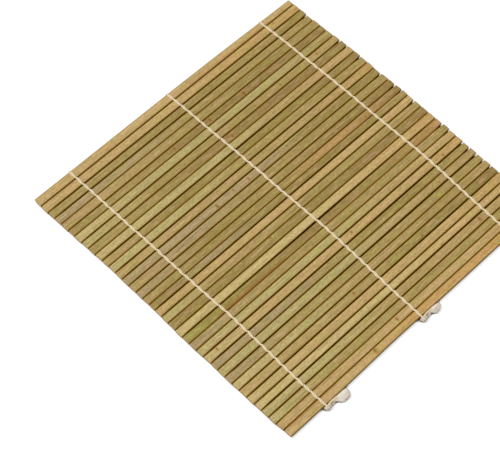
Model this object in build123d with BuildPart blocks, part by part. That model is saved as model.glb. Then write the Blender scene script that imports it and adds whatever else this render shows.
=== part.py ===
from build123d import *

import math
import os

os.makedirs("parts", exist_ok=True)

# Sushi rolling mat: flat bamboo slats laid side by side and held by three lines of cotton twine.
# X runs along the slats, Y runs across them in the direction in which the mat rolls, and Z is up.
# The origin is under the middle of the mat, on the plane that the twine's underside rests on.
# Slat 1 lies at the +Y edge, which starts the roll. The knots lie beyond the last slat, at the -Y edge.

# Slats, in mm
slat_count = 37
slat_length = 240.0
slat_width = 5.8
slat_thickness = 2.4
slat_edge_radius = 0.6
slat_end_bevel = 0.25

# Twine, pressed flat where it is pinched between two slats
twine_width = 1.2
twine_flat_width = 0.9
twine_thickness = 0.4
twine_slat_clearance = 0.15
twine_pass_clearance = 0.1
line_spacing = 90.0

# Knot that ties the two ends of one line together beyond the last slat
knot_slat_clearance = 0.65
knot_twine_clearance = 0.1
knot_length = 4.8
knot_core_diameter = 2.8
knot_turn_diameter = 1.0
knot_turn_sink = 0.75
knot_turn_offset = 1.0
knot_turn_lean = 18.0

# Tail that leaves the knot along the last slat, and its frayed tuft
tail_diameter = 1.3
tail_slat_clearance = 0.4
tail_reach = 6.6
tail_bend_radius = 2.5
tuft_length = 11.5
tuft_width = 7.2
tuft_thickness = 2.3
tuft_slat_clearance = 0.3
tuft_start_overlap = 0.4
tuft_rounding_share = 0.42
tuft_station_shares = (0.0, 0.30, 0.62, 0.88, 1.0)
tuft_width_shares = (0.22, 0.52, 1.0, 0.80, 0.42)
tuft_thickness_shares = (0.64, 0.80, 1.0, 0.75, 0.40)

# Sizes that follow from the ones above
slat_gap = twine_thickness + 2 * twine_slat_clearance
slat_pitch = slat_width + slat_gap
mat_depth = slat_count * slat_pitch - slat_gap
twine_height = slat_thickness / 2 + twine_slat_clearance + twine_thickness / 2
middle_height = twine_height + twine_thickness / 2
twine_bend_radius = slat_edge_radius + twine_slat_clearance + twine_thickness / 2
twine_side_step = (twine_width + twine_pass_clearance) / 2
knot_turn_radius = knot_core_diameter / 2 + knot_turn_diameter / 2 - knot_turn_sink
knot_reach = knot_turn_radius + knot_turn_diameter / 2
knot_y = -(mat_depth / 2 + knot_slat_clearance + knot_reach)
tail_y = -(mat_depth / 2 + tail_slat_clearance + tail_diameter / 2)

line_positions = {"left": -line_spacing, "middle": 0, "right": line_spacing}


def slat_y(number):
    """The place of a slat's middle, counted from 1 at the edge that starts the roll."""
    return ((slat_count + 1) / 2 - number) * slat_pitch


def gap_y(number):
    """The middle of the gap after a slat. Gap 0 lies outside slat 1, and the last one outside the last slat."""
    return (slat_count / 2 - number) * slat_pitch


def save(part, name):
    """Label a finished piece and write it under its own name."""
    part.label = name
    export_step(part, f"parts/{name}.step")


# A slat is a flat strip with rounded long edges and lightly bevelled ends
def make_slat(number):
    """One bamboo slat."""
    section = Plane(origin=(0, slat_y(number), middle_height), x_dir=(0, 1, 0), z_dir=(1, 0, 0))
    with BuildPart() as slat:
        with BuildSketch(section):
            RectangleRounded(slat_width, slat_thickness, slat_edge_radius)
        extrude(amount=slat_length / 2, both=True)
        ends = slat.faces().filter_by(Axis.X)
        chamfer(ends.edges(), slat_end_bevel)
    save(slat.part, f"slat_{number:02d}")


# Each line is one string, folded round the first slat. Its two strands pass over and under the slats
# by turns, and swap sides on every slat, so that they are twined. Each stretch over a slat slants alike.
# The route bends in upright planes round the slats' edges and in level planes on their faces.
def strand_edges(first_level):
    """One strand's route at X = 0, from the first slat's outer edge to the knot.

    first_level is 1 for the strand that starts over the first slat, and -1 for the one under it.
    """
    edges = []
    level = first_level
    x = 0
    for slat in range(1, slat_count + 1):
        height = middle_height + level * twine_height
        next_x = -level * twine_side_step if slat < slat_count else 0
        start = Vector(x, gap_y(slat - 1) - twine_bend_radius, height)
        end = Vector(next_x, gap_y(slat) + twine_bend_radius, height)
        edges.append(TangentArc(start, (start + end) / 2, tangent=(0, -1, 0)))
        edges.append(TangentArc(end, (start + end) / 2, tangent=(0, 1, 0)))
        if slat < slat_count:
            edges += gap_edges(next_x, slat, level)
            x = next_x
            level = -level
    corner = Vector(0, gap_y(slat_count), height)
    edges += FilletPolyline(end, corner, knot_entry(corner), radius=twine_bend_radius).edges()
    return edges


def gap_edges(x, gap, level):
    """The route through a gap, round one slat's edge and back round the next one's."""
    y = gap_y(gap)
    turn_start = middle_height + level * (twine_height - twine_bend_radius)
    turn_end = middle_height - level * (twine_height - twine_bend_radius)
    before = (x, y + twine_bend_radius, middle_height + level * twine_height)
    after = (x, y - twine_bend_radius, middle_height - level * twine_height)
    return [
        TangentArc(before, (x, y, turn_start), tangent=(0, -1, 0)),
        Line((x, y, turn_start), (x, y, turn_end)),
        TangentArc((x, y, turn_end), after, tangent=(0, 0, -level)),
    ]


def fold_edges():
    """The route round the outer edge of the first slat, where the string is folded in two."""
    y = gap_y(0)
    upper = middle_height + twine_height - twine_bend_radius
    lower = middle_height - twine_height + twine_bend_radius
    over = (0, y - twine_bend_radius, middle_height + twine_height)
    under = (0, y - twine_bend_radius, middle_height - twine_height)
    return [
        TangentArc(over, (0, y, upper), tangent=(0, 1, 0)),
        Line((0, y, upper), (0, y, lower)),
        TangentArc((0, y, lower), under, tangent=(0, 0, -1)),
    ]


def knot_entry(corner):
    """The point just off the knot where a strand that comes round the last slat's edge ends."""
    centre = Vector(0, knot_y, middle_height)
    away = corner - centre
    return centre + away * ((knot_reach + knot_twine_clearance) / away.length)


def make_twine():
    """One whole string at X = 0: along one strand, round the first slat and back along the other."""
    wire = Wire(strand_edges(1) + fold_edges() + strand_edges(-1))
    half_width = twine_width / 2
    half_flat = twine_flat_width / 2
    half_thickness = twine_thickness / 2
    with BuildPart() as twine:
        with BuildSketch(Plane(origin=wire @ 0, x_dir=(1, 0, 0), z_dir=wire % 0)) as section:
            with BuildLine():
                Polyline(
                    (half_width, 0),
                    (half_flat, half_thickness),
                    (-half_flat, half_thickness),
                    (-half_width, 0),
                    (-half_flat, -half_thickness),
                    (half_flat, -half_thickness),
                    close=True,
                )
            make_face()
        sweep(path=wire, clean=False)
    share = twine.part.volume / (section.sketch.area * wire.length)
    print(f"twine {wire.length:.1f} mm long, bends {twine_bend_radius:.2f} mm, volume share {share:.3f}")
    return twine.part


def place_twine(twine, side, line_x):
    """Set a copy of the finished string on one of the three lines."""
    with BuildPart() as placed:
        with Locations((line_x, 0, 0)):
            add(twine, clean=False)
    save(placed.part, f"twine_{side}")


# The knot has a rounded core with two leaning turns round it, and one tail that ends in a flat tuft
def make_knot(side, line_x):
    """The knot beyond the last slat, with its tail and frayed tuft."""
    tuft_x = line_x + tail_reach - tuft_start_overlap
    tail_points = [
        (line_x, knot_y, middle_height),
        (line_x + (knot_length + tail_reach) / 4, tail_y, middle_height),
        (line_x + tail_reach, tail_y, middle_height),
    ]
    core_plane = Plane(origin=(line_x, knot_y, middle_height))
    half_length = knot_length / 2
    with BuildPart() as knot:
        with BuildSketch(core_plane):
            with BuildLine():
                EllipticalCenterArc((0, 0), half_length, knot_core_diameter / 2, arc_size=180)
                Line((-half_length, 0), (half_length, 0))
            make_face()
        revolve(axis=Axis(core_plane.origin, (1, 0, 0)))
        for way in (-1, 1):
            lean = math.radians(way * knot_turn_lean)
            turn_plane = Plane(
                origin=(line_x + way * knot_turn_offset, knot_y, middle_height),
                x_dir=(-math.sin(lean), math.cos(lean), 0),
                z_dir=(math.cos(lean), math.sin(lean), 0),
            )
            turn_section = Plane(
                origin=turn_plane.origin + turn_plane.x_dir * knot_turn_radius,
                x_dir=turn_plane.x_dir,
                z_dir=(0, 0, 1),
            )
            with BuildSketch(turn_section):
                Circle(knot_turn_diameter / 2)
            revolve(axis=Axis(turn_plane.origin, turn_plane.z_dir))
        with BuildLine() as tail_route:
            FilletPolyline(*tail_points, radius=[tail_bend_radius])
        tail_wire = tail_route.wires()[0]
        with BuildSketch(Plane(origin=tail_wire @ 0, x_dir=(0, 0, 1), z_dir=tail_wire % 0)):
            Circle(tail_diameter / 2)
        sweep(path=tail_wire)
        for station, width, thickness in zip(
            tuft_station_shares, tuft_width_shares, tuft_thickness_shares
        ):
            section_width = tuft_width * width
            section_thickness = tuft_thickness * thickness
            centre_y = -(mat_depth / 2 + tuft_slat_clearance + section_width / 2)
            centre = (tuft_x + tuft_length * station, centre_y, middle_height)
            with BuildSketch(Plane(origin=centre, x_dir=(0, 1, 0), z_dir=(1, 0, 0))):
                RectangleRounded(
                    section_width, section_thickness, section_thickness * tuft_rounding_share
                )
        loft()
    save(knot.part, f"knot_{side}")


for slat_number in range(1, slat_count + 1):
    make_slat(slat_number)

string = make_twine()
for line_side, line_place in line_positions.items():
    place_twine(string, line_side, line_place)
    make_knot(line_side, line_place)

print(f"{slat_count} slats at {slat_pitch:.2f} mm, {slat_length:.1f} x {mat_depth:.1f} mm")
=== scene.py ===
"""Dresses the sushi rolling mat: bamboo slats, cotton twine, knots and frayed ends.

Every length in the classes is in millimetres, and is turned into metres where a mesh is written.
X runs along the slats, Y across them towards the edge that starts the roll, and Z is up.
"""

from __future__ import annotations

import logging
import math
import random
from collections.abc import Iterable
from dataclasses import dataclass, field, replace
from enum import Enum
from typing import ClassVar

import bpy
import numpy as np
from mathutils import Matrix, Vector


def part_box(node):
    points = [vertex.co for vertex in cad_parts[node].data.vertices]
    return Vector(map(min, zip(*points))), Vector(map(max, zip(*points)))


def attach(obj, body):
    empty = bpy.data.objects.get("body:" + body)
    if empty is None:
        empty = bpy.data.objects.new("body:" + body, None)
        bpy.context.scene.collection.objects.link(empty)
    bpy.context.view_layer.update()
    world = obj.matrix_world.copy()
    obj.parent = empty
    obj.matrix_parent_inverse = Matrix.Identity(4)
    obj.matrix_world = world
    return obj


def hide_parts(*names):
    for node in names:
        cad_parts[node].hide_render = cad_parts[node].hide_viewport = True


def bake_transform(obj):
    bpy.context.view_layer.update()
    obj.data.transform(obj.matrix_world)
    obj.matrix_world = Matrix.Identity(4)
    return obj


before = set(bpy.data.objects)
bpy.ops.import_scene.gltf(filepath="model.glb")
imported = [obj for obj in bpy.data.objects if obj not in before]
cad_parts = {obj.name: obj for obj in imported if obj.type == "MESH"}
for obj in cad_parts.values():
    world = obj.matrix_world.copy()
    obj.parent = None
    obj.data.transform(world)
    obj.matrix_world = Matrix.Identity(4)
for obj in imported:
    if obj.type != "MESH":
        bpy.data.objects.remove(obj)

LOG = logging.getLogger("rolling_mat")
MM = 0.001
SEED = 4127

# What the slats' own random draws, the twine's and the knots' start from
SLAT_SEEDS = SEED * 100
TWINE_SEED = SEED + 1
KNOT_SEEDS = SEED + 20

# The screen's colour curve: its highest value, where its straight foot ends, and the curve above that
FULL = 255
FOOT_END = 0.04045
FOOT_SLOPE = 12.92
CURVE_LIFT = 0.055
CURVE_POWER = 2.4

# The three lines of twine, from -X to +X
SIDES = ("left", "middle", "right")

# The attributes that carry a slat's scars to its material
SCAR_NAMES = ("scar_1", "scar_2", "scar_3")

Colour = tuple[int, int, int]
Values = np.ndarray | float
Faces = list[tuple[int, ...]]
Socket = bpy.types.NodeSocket


def linear(colour: Colour) -> tuple[float, float, float, float]:
    """Turns a colour as it shows on a screen into the scene's linear values.

    Args:
        colour: Red, green and blue, from 0 to 255.

    Returns:
        The colour and full opacity, as four linear numbers.
    """
    parts = []
    for value in colour:
        share = value / FULL
        if share <= FOOT_END:
            parts.append(share / FOOT_SLOPE)
        else:
            parts.append(((share + CURVE_LIFT) / (1 + CURVE_LIFT)) ** CURVE_POWER)
    return (*parts, 1.0)


def smooth(share: Values) -> Values:
    """Eases a share from 0 to 1 with level ends."""
    held = np.clip(share, 0.0, 1.0)
    return held * held * (3 - 2 * held)


def ramp(value: Values, low: float, high: float) -> Values:
    """Eases from 0 where the value is low to 1 where it is high."""
    return smooth((value - low) / (high - low))


def between(place: float, table: tuple[tuple[float, float], ...]) -> float:
    """Reads a table of places and values at a place between them."""
    return float(np.interp(place, *zip(*table)))


# What the slats' tones are multiplied by, so that they show as they were seen
WARMTH = (1.02, 0.98, 0.88)


class Tone(Enum):
    """The bamboo's tones, as they show in soft white light."""

    STRAW = (206, 186, 130)
    HONEY = (201, 171, 116)
    GOLD = (197, 163, 103)
    TAN = (185, 158, 104)
    RUST = (189, 149, 94)
    OLIVE = (171, 150, 90)
    MOSS = (156, 136, 74)
    BROWN = (153, 127, 73)
    GREY = (175, 155, 115)
    SAGE = (188, 176, 118)
    LEAF = (158, 152, 72)
    AMBER = (202, 162, 98)


@dataclass(frozen=True)
class Look:
    """One slat as it was split: its share of the mat's depth, and its tones from left to right."""

    pitch: float
    tones: str


# The slats in order, from the edge that starts the roll
LOOKS = (
    Look(7.0, "HONEY HONEY HONEY HONEY HONEY"),
    Look(6.9, "HONEY HONEY HONEY GOLD GOLD"),
    Look(6.3, "OLIVE OLIVE MOSS OLIVE MOSS"),
    Look(6.3, "GREY GREY OLIVE OLIVE OLIVE"),
    Look(6.9, "TAN TAN OLIVE MOSS OLIVE"),
    Look(5.9, "OLIVE OLIVE BROWN BROWN BROWN"),
    Look(6.7, "STRAW SAGE SAGE SAGE OLIVE"),
    Look(6.4, "SAGE OLIVE OLIVE OLIVE TAN"),
    Look(6.6, "OLIVE OLIVE BROWN BROWN BROWN"),
    Look(6.7, "STRAW SAGE SAGE TAN HONEY"),
    Look(6.1, "TAN MOSS MOSS MOSS BROWN"),
    Look(6.6, "SAGE SAGE OLIVE OLIVE OLIVE"),
    Look(6.5, "HONEY TAN TAN TAN GOLD"),
    Look(6.7, "GREY GREY GREY MOSS MOSS"),
    Look(6.9, "TAN GREY OLIVE OLIVE OLIVE"),
    Look(6.4, "GREY MOSS OLIVE BROWN BROWN"),
    Look(6.2, "OLIVE MOSS OLIVE RUST BROWN"),
    Look(5.6, "MOSS GREY MOSS MOSS OLIVE"),
    Look(6.4, "HONEY HONEY HONEY HONEY HONEY"),
    Look(6.4, "SAGE TAN OLIVE OLIVE TAN"),
    Look(6.7, "MOSS MOSS MOSS BROWN BROWN"),
    Look(6.9, "STRAW STRAW STRAW HONEY GOLD"),
    Look(6.5, "LEAF MOSS BROWN MOSS RUST"),
    Look(6.5, "GREY OLIVE OLIVE OLIVE OLIVE"),
    Look(6.4, "SAGE SAGE SAGE TAN HONEY"),
    Look(6.8, "STRAW HONEY HONEY HONEY GOLD"),
    Look(6.2, "GREY GREY OLIVE MOSS OLIVE"),
    Look(6.7, "SAGE SAGE SAGE TAN TAN"),
    Look(6.6, "GREY OLIVE OLIVE OLIVE OLIVE"),
    Look(6.4, "STRAW SAGE TAN OLIVE TAN"),
    Look(6.7, "HONEY TAN OLIVE MOSS BROWN"),
    Look(6.8, "STRAW HONEY HONEY HONEY GOLD"),
    Look(6.0, "STRAW STRAW STRAW HONEY HONEY"),
    Look(6.6, "SAGE SAGE TAN TAN TAN"),
    Look(6.3, "SAGE OLIVE OLIVE OLIVE OLIVE"),
    Look(6.3, "HONEY HONEY HONEY HONEY GOLD"),
    Look(6.6, "HONEY HONEY AMBER AMBER AMBER"),
)


@dataclass(frozen=True)
class Scar:
    """A dark or rusty mark on a slat's skin, where a twig or a node was cut away, in millimetres."""

    slat: int
    along: float
    across: float
    size: float


SCARS = (
    Scar(2, 96.5, 2.2, 1.0),
    Scar(6, 39.5, -0.3, 2.4),
    Scar(6, 7.5, 0.1, 1.8),
    Scar(6, -26.5, 0.1, 1.7),
    Scar(8, 62.7, 0.0, 1.1),
    Scar(8, 37.7, -0.2, 1.0),
    Scar(8, 99.7, 0.6, 1.1),
    Scar(9, 41.0, 0.3, 1.0),
    Scar(9, 9.3, -0.6, 1.6),
    Scar(14, -6.9, 0.2, 1.3),
    Scar(14, -20.5, 0.6, 1.1),
    Scar(14, -36.9, -0.8, 1.7),
    Scar(17, 86.2, -1.2, 1.2),
    Scar(21, -28.6, 2.0, 1.3),
    Scar(26, -110.7, 1.3, 1.2),
    Scar(26, 13.1, 0.5, 1.1),
    Scar(26, 101.8, -1.4, 1.2),
    Scar(28, 83.9, -1.0, 1.0),
    Scar(31, -18.9, 0.6, 1.2),
    Scar(31, 45.0, -1.3, 1.2),
    Scar(33, 49.4, -2.2, 1.0),
    Scar(34, 82.0, 0.0, 1.9),
    Scar(36, -12.4, 0.3, 1.4),
    Scar(37, -38.9, 0.9, 2.0),
)


@dataclass(frozen=True)
class RustLine:
    """A reddish line along one edge of a slat, on its first side (1) or its second (-1)."""

    slat: int
    side: int
    start: float
    end: float
    strength: float
    fade: float = 8.0

    def at(self, x: Values) -> Values:
        """How rusty the slat is at x, with the line's side as the sign."""
        begun = ramp(x, self.start - self.fade / 2, self.start + self.fade / 2)
        left = ramp(-x, -self.end - self.fade / 2, -self.end + self.fade / 2)
        return self.side * self.strength * begun * left


RUST_LINES = (
    RustLine(1, -1, 16.5, 96.5, 0.55),
    RustLine(6, 1, -68.5, 111.5, 0.45),
    RustLine(6, -1, -38.5, 61.5, 0.35),
    RustLine(17, -1, 61.5, 119.0, 0.4),
    RustLine(23, -1, -93.5, -31.5, 0.95),
    RustLine(23, -1, 81.5, 119.0, 0.5),
    RustLine(25, -1, -117.5, -60.5, 0.45),
    RustLine(30, 1, 11.5, 91.5, 0.35),
    RustLine(37, 1, -117.5, -70.5, 0.7),
    RustLine(37, 1, 21.5, 81.5, 0.4),
)

# Gaps that open out at the right end, where the slats stand apart, and by how much on each side
OPEN_ENDS = {
    3: 0.43,
    8: 0.37,
    9: 0.30,
    11: 0.47,
    14: 0.30,
    16: 0.41,
    17: 0.30,
    19: 0.44,
    23: 0.58,
    24: 0.41,
    26: 0.33,
    27: 0.41,
    28: 0.41,
    29: 0.41,
    30: 0.37,
    33: 0.30,
    35: 0.37,
}


@dataclass(frozen=True)
class Swell:
    """A place along the slats where something grows: its middle, by how much, and its reach."""

    middle: float = 0.0
    extra: float = 0.0
    reach: float = 34.0

    def at(self, x: Values) -> Values:
        """How much it grows at x."""
        return self.extra * np.exp(-(((x - self.middle) / self.reach) ** 2))


# Gaps that stand open for part of their length, and by how much on each side
BULGES = {
    10: Swell(21.5, 0.10),
    18: Swell(41.5, 0.08),
    22: Swell(3.5, 0.24),
    26: Swell(56.5, 0.10),
    28: Swell(46.5, 0.10),
    31: Swell(61.5, 0.08),
}

# Bows of the mat's two outer edges, and how far each is set in along Y
BOWS = {
    0: Swell(131.5, -1.5, 70.0),
    37: Swell(-20.5, 0.62, 32.0),
}

# How far the slats' ends lie from where they were cut square, by slat
LEFT_ENDS = (
    (1, -1.3),
    (5, -0.9),
    (8, -0.3),
    (11, 0.2),
    (18, 0.2),
    (22, -0.7),
    (26, -0.5),
    (30, -0.7),
    (35, -0.3),
    (37, 0.5),
)
RIGHT_ENDS = (
    (1, -1.1),
    (5, -0.9),
    (8, 0.0),
    (10, 0.7),
    (14, 0.3),
    (18, 0.7),
    (24, 0.6),
    (26, -0.3),
    (29, -0.8),
    (37, -0.8),
)

# How far each gap leans from one end of the mat to its middle, by gap
LEANS = (
    (0, 0.1),
    (4, 0.25),
    (8, 0.5),
    (12, 0.25),
    (16, 0.0),
    (24, -0.15),
    (37, -0.2),
)

# The gaps that are narrower than most, and those that are wider
TIGHT_GAPS = (4, 6, 9, 11, 17, 20, 23, 24, 29, 35, 36)
WIDE_GAPS = (2, 3, 7, 10, 12, 13, 18, 22, 25, 26, 28, 31, 33)


@dataclass(frozen=True)
class MatFrame:
    """The mat's sizes and places, in millimetres, read from the frame."""

    count: int
    pitch: float
    width: float
    thickness: float
    left: float
    right: float
    first_edge: float
    last_edge: float
    under: float
    top: float
    lines: tuple[float, ...]

    @classmethod
    def read(cls) -> MatFrame:
        """Reads the sizes from the nodes' boxes.

        Returns:
            The sizes.
        """
        names = sorted(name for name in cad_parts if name.startswith("slat_"))
        low, high = (Vector(corner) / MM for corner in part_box(names[0]))
        last_low = Vector(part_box(names[-1])[0]) / MM
        lines = []
        for side in SIDES:
            ends = [Vector(corner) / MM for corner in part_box(f"twine_{side}")]
            lines.append((ends[0].x + ends[1].x) / 2)
        count = len(names)
        return cls(
            count=count,
            pitch=(low.y - last_low.y) / (count - 1),
            width=high.y - low.y,
            thickness=high.z - low.z,
            left=low.x,
            right=high.x,
            first_edge=high.y,
            last_edge=last_low.y,
            under=low.z,
            top=high.z,
            lines=tuple(lines),
        )

    @property
    def middle_height(self) -> float:
        """The height of the slats' middle, which the mat folds about."""
        return (self.under + self.top) / 2

    def gap_y(self, gap: int) -> float:
        """The middle of a gap. Gap 0 is outside the first slat."""
        return self.first_edge + (self.pitch - self.width) / 2 - gap * self.pitch


@dataclass(frozen=True)
class GapCurve:
    """The wandering gap between two slats, or the outer edge of the first or last one."""

    place: float
    lean: float
    wave: float
    phase: float
    half: float
    taper: float
    open_end: float
    bulge: Swell
    bow: Swell
    half_length: float
    lines: tuple[float, ...]
    wave_turn: float = 2.6
    open_length: float = 8.0
    close_length: float = 18.0
    closed_half: float = 0.19
    left_length: float = 9.0
    left_half: float = 0.21
    pinch: float = 0.25
    pinch_reach: float = 5.0

    def centre(self, x: Values) -> Values:
        """The middle of the gap at x."""
        share = x / self.half_length
        wave = self.wave * np.sin(self.wave_turn * share + self.phase)
        return self.place + self.lean * share + wave + self.bow.at(x)

    def half_width(self, x: Values) -> Values:
        """Half the gap's width, which the twine holds open at each line.

        Args:
            x: The place along the slats.

        Returns:
            Half the width there.
        """
        length = self.half_length
        plain = self.half + self.taper * x / length + self.bulge.at(x)
        if self.open_end == 0.0:
            plain = plain + (self.closed_half - plain) * ramp(x, length - self.close_length, length)
        if self.wave:
            plain = plain + (self.left_half - plain) * ramp(-x, length - self.left_length, length)
        held = sum(Swell(line, 1.0, self.pinch_reach).at(x) for line in self.lines)
        opening = np.clip((x - length + self.open_length) / self.open_length, 0.0, 1.0)
        return plain + np.maximum(self.pinch - plain, 0.0) * held + self.open_end * opening


@dataclass
class GapSet:
    """All the gaps of the mat, from outside the first slat to outside the last."""

    sizes: MatFrame
    wave: float = 0.09
    half: float = 0.30
    tight: float = 0.20
    wide: float = 0.41
    outer_end: float = 0.02
    half_spread: float = 0.03
    taper: float = 0.03
    curves: list[GapCurve] = field(default_factory=list)

    def __post_init__(self) -> None:
        """Sets out each gap from the slats' own widths."""
        draw = random.Random(SEED)
        sizes = self.sizes
        stretch = sizes.pitch * sizes.count / sum(look.pitch for look in LOOKS)
        place = sizes.gap_y(0)
        for gap in range(sizes.count + 1):
            if gap:
                place -= LOOKS[gap - 1].pitch * stretch
            self.curves.append(self.curve(gap, place, draw))

    def curve(self, gap: int, place: float, draw: random.Random) -> GapCurve:
        """Sets out one gap.

        Args:
            gap: Its number.
            place: Its middle along Y.
            draw: Where its wandering is drawn from.

        Returns:
            The gap.
        """
        sizes = self.sizes
        outer = gap in (0, sizes.count)
        scale = 0.0 if outer else 1.0
        wave = scale * draw.uniform(-self.wave, self.wave)
        phase = draw.uniform(0, math.tau)
        half = (sizes.pitch - sizes.width) / 2
        if not outer:
            half = self.usual_half(gap) + draw.uniform(-self.half_spread, self.half_spread)
        return GapCurve(
            place=place,
            lean=scale * between(gap, LEANS),
            wave=wave,
            phase=phase,
            half=half,
            taper=scale * draw.uniform(-self.taper, self.taper),
            open_end=self.outer_end if outer else OPEN_ENDS.get(gap, 0.0),
            bulge=BULGES.get(gap, Swell()),
            bow=BOWS.get(gap, Swell()),
            half_length=(sizes.right - sizes.left) / 2,
            lines=sizes.lines,
        )

    def usual_half(self, gap: int) -> float:
        """Half the width that a gap has along most of its length."""
        if gap in TIGHT_GAPS:
            return self.tight
        return self.wide if gap in WIDE_GAPS else self.half

    def slat_edges(self, slat: int, x: Values) -> tuple[Values, Values]:
        """A slat's lower and upper long edges at x."""
        before, after = self.curves[slat - 1], self.curves[slat]
        return after.centre(x) + after.half_width(x), before.centre(x) - before.half_width(x)


@dataclass(frozen=True)
class Span:
    """A range of values and the range that it is carried to, held at both ends."""

    low: float
    high: float
    to_low: float = 0.0
    to_high: float = 1.0
    eased: bool = True

    def above(self, height: float) -> Span:
        """The same span from a height, all in millimetres, as the shader's metres."""
        return replace(self, low=(height + self.low) * MM, high=(height + self.high) * MM)


class Graph:
    """Adds and joins the nodes of one shader tree."""

    # The places of a mix node's two colours and of its result
    first_colour: ClassVar[int] = 6
    second_colour: ClassVar[int] = 7
    mixed_colour: ClassVar[int] = 2

    def __init__(self, tree: bpy.types.NodeTree) -> None:
        """Takes the tree to work in."""
        self.tree = tree

    def add(self, kind: str, **settings: object) -> bpy.types.Node:
        """Adds a node and sets its properties."""
        node = self.tree.nodes.new(kind)
        for name, value in settings.items():
            setattr(node, name, value)
        return node

    def put(self, target: Socket, value: object) -> None:
        """Joins a socket to the target, or writes a plain value there."""
        if isinstance(value, Socket):
            self.tree.links.new(value, target)
        else:
            target.default_value = value

    def put_all(self, targets: Iterable[Socket], values: Iterable[object]) -> None:
        """Joins or writes each value to the target of the same place."""
        for target, value in zip(targets, values):
            self.put(target, value)

    def math(self, operation: str, *values: object) -> Socket:
        """Works out one sum of two or three values."""
        node = self.add("ShaderNodeMath", operation=operation)
        self.put_all(node.inputs, values)
        return node.outputs[0]

    def vector(self, operation: str, first: object, second: object) -> Socket:
        """Works out one sum of two vectors."""
        node = self.add("ShaderNodeVectorMath", operation=operation)
        self.put_all(node.inputs, (first, second))
        return node.outputs["Vector"]

    def length(self, vector: object) -> Socket:
        """The length of a vector."""
        node = self.add("ShaderNodeVectorMath", operation="LENGTH")
        self.put(node.inputs[0], vector)
        return node.outputs["Value"]

    def separate(self, vector: object) -> tuple[Socket, ...]:
        """A vector's X, Y and Z."""
        node = self.add("ShaderNodeSeparateXYZ")
        self.put(node.inputs[0], vector)
        return tuple(node.outputs)

    def combine(self, *parts: object) -> Socket:
        """A vector of its X, Y and Z. Those left out are 0."""
        node = self.add("ShaderNodeCombineXYZ")
        self.put_all(node.inputs, parts)
        return node.outputs[0]

    def mix(self, share: object, first: object, second: object, blend: str = "MIX") -> Socket:
        """Mixes two colours.

        Args:
            share: How much of the second colour there is, from 0 to 1.
            first: The colour beneath.
            second: The colour on top.
            blend: How the second colour acts on the first.

        Returns:
            The mixed colour.
        """
        node = self.add("ShaderNodeMix", data_type="RGBA", blend_type=blend)
        self.put(node.inputs[0], share)
        self.put(node.inputs[self.first_colour], first)
        self.put(node.inputs[self.second_colour], second)
        return node.outputs[self.mixed_colour]

    def tint(self, colour: object, value: object) -> Socket:
        """Makes a colour lighter or darker by a value."""
        grey = self.add("ShaderNodeCombineColor")
        self.put_all(grey.inputs, [value] * len(grey.inputs))
        return self.mix(1.0, colour, grey.outputs[0], "MULTIPLY")

    def noise(self, place: object, scale: float, detail: float, roughness: float = 0.55) -> Socket:
        """A noise value at a place.

        Args:
            place: The place.
            scale: How many bumps there are on a metre.
            detail: How many finer layers lie on them.
            roughness: How strong the finer layers are.

        Returns:
            The noise, about 0.5.
        """
        node = self.add("ShaderNodeTexNoise")
        titles = ("Vector", "Scale", "Detail", "Roughness")
        self.put_all((node.inputs[title] for title in titles), (place, scale, detail, roughness))
        return node.outputs["Fac"]

    def span(self, value: object, span: Span) -> Socket:
        """Carries a value from one range to another, held at both ends."""
        kind = "SMOOTHSTEP" if span.eased else "LINEAR"
        node = self.add("ShaderNodeMapRange", interpolation_type=kind)
        titles = ("Value", "From Min", "From Max", "To Min", "To Max")
        values = (value, span.low, span.high, span.to_low, span.to_high)
        self.put_all((node.inputs[title] for title in titles), values)
        return node.outputs["Result"]

    def attribute(self, name: str, output: str = "Fac") -> Socket:
        """Reads an attribute that the mesh carries."""
        return self.add("ShaderNodeAttribute", attribute_name=name).outputs[output]

    def object_place(self) -> Socket:
        """The place on the piece, in metres, in the mat's own frame."""
        return self.add("ShaderNodeTexCoord").outputs["Object"]

    def relief(self, surface: bpy.types.Node, height: object, depth: float, strength: float) -> None:
        """Gives a surface a bump from a height value.

        Args:
            surface: The surface's shader.
            height: The height value.
            depth: The bump's depth in millimetres.
            strength: How much of it shows, from 0 to 1.
        """
        bump = self.add("ShaderNodeBump")
        bump.inputs["Distance"].default_value = depth * MM
        bump.inputs["Strength"].default_value = strength
        self.put(bump.inputs["Height"], height)
        self.put(surface.inputs["Normal"], bump.outputs["Normal"])


class EffectGroup:
    """A shader node group that is built once, the first time that a material uses it."""

    name: ClassVar[str]
    inputs: ClassVar[dict[str, str]]
    outputs: ClassVar[dict[str, str]]

    @classmethod
    def use(cls, graph: Graph, **values: object) -> bpy.types.bpy_prop_collection:
        """Places the group in a graph with its own values, and gives its outputs."""
        node = graph.add("ShaderNodeGroup", node_tree=bpy.data.node_groups.get(cls.name) or cls.build())
        for title, value in values.items():
            graph.put(node.inputs[title], value)
        return node.outputs

    @classmethod
    def build(cls) -> bpy.types.NodeTree:
        """Builds the group."""
        group = bpy.data.node_groups.new(cls.name, "ShaderNodeTree")
        for way, sockets in (("INPUT", cls.inputs), ("OUTPUT", cls.outputs)):
            for title, kind in sockets.items():
                group.interface.new_socket(title, in_out=way, socket_type=f"NodeSocket{kind}")
        graph = Graph(group)
        given = graph.add("NodeGroupInput").outputs
        result = graph.add("NodeGroupOutput").inputs
        for title, value in cls.effect(graph, given).items():
            graph.put(result[title], value)
        return group

    @classmethod
    def effect(cls, graph: Graph, given: bpy.types.bpy_prop_collection) -> dict[str, Socket]:
        """Works out each output from what the group is given."""
        raise NotImplementedError


@dataclass(frozen=True)
class NoiseLayer:
    """Noise that is drawn out along the slats: its scales along and across them, and its texture."""

    along: float
    across: float
    detail: float
    roughness: float


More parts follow.
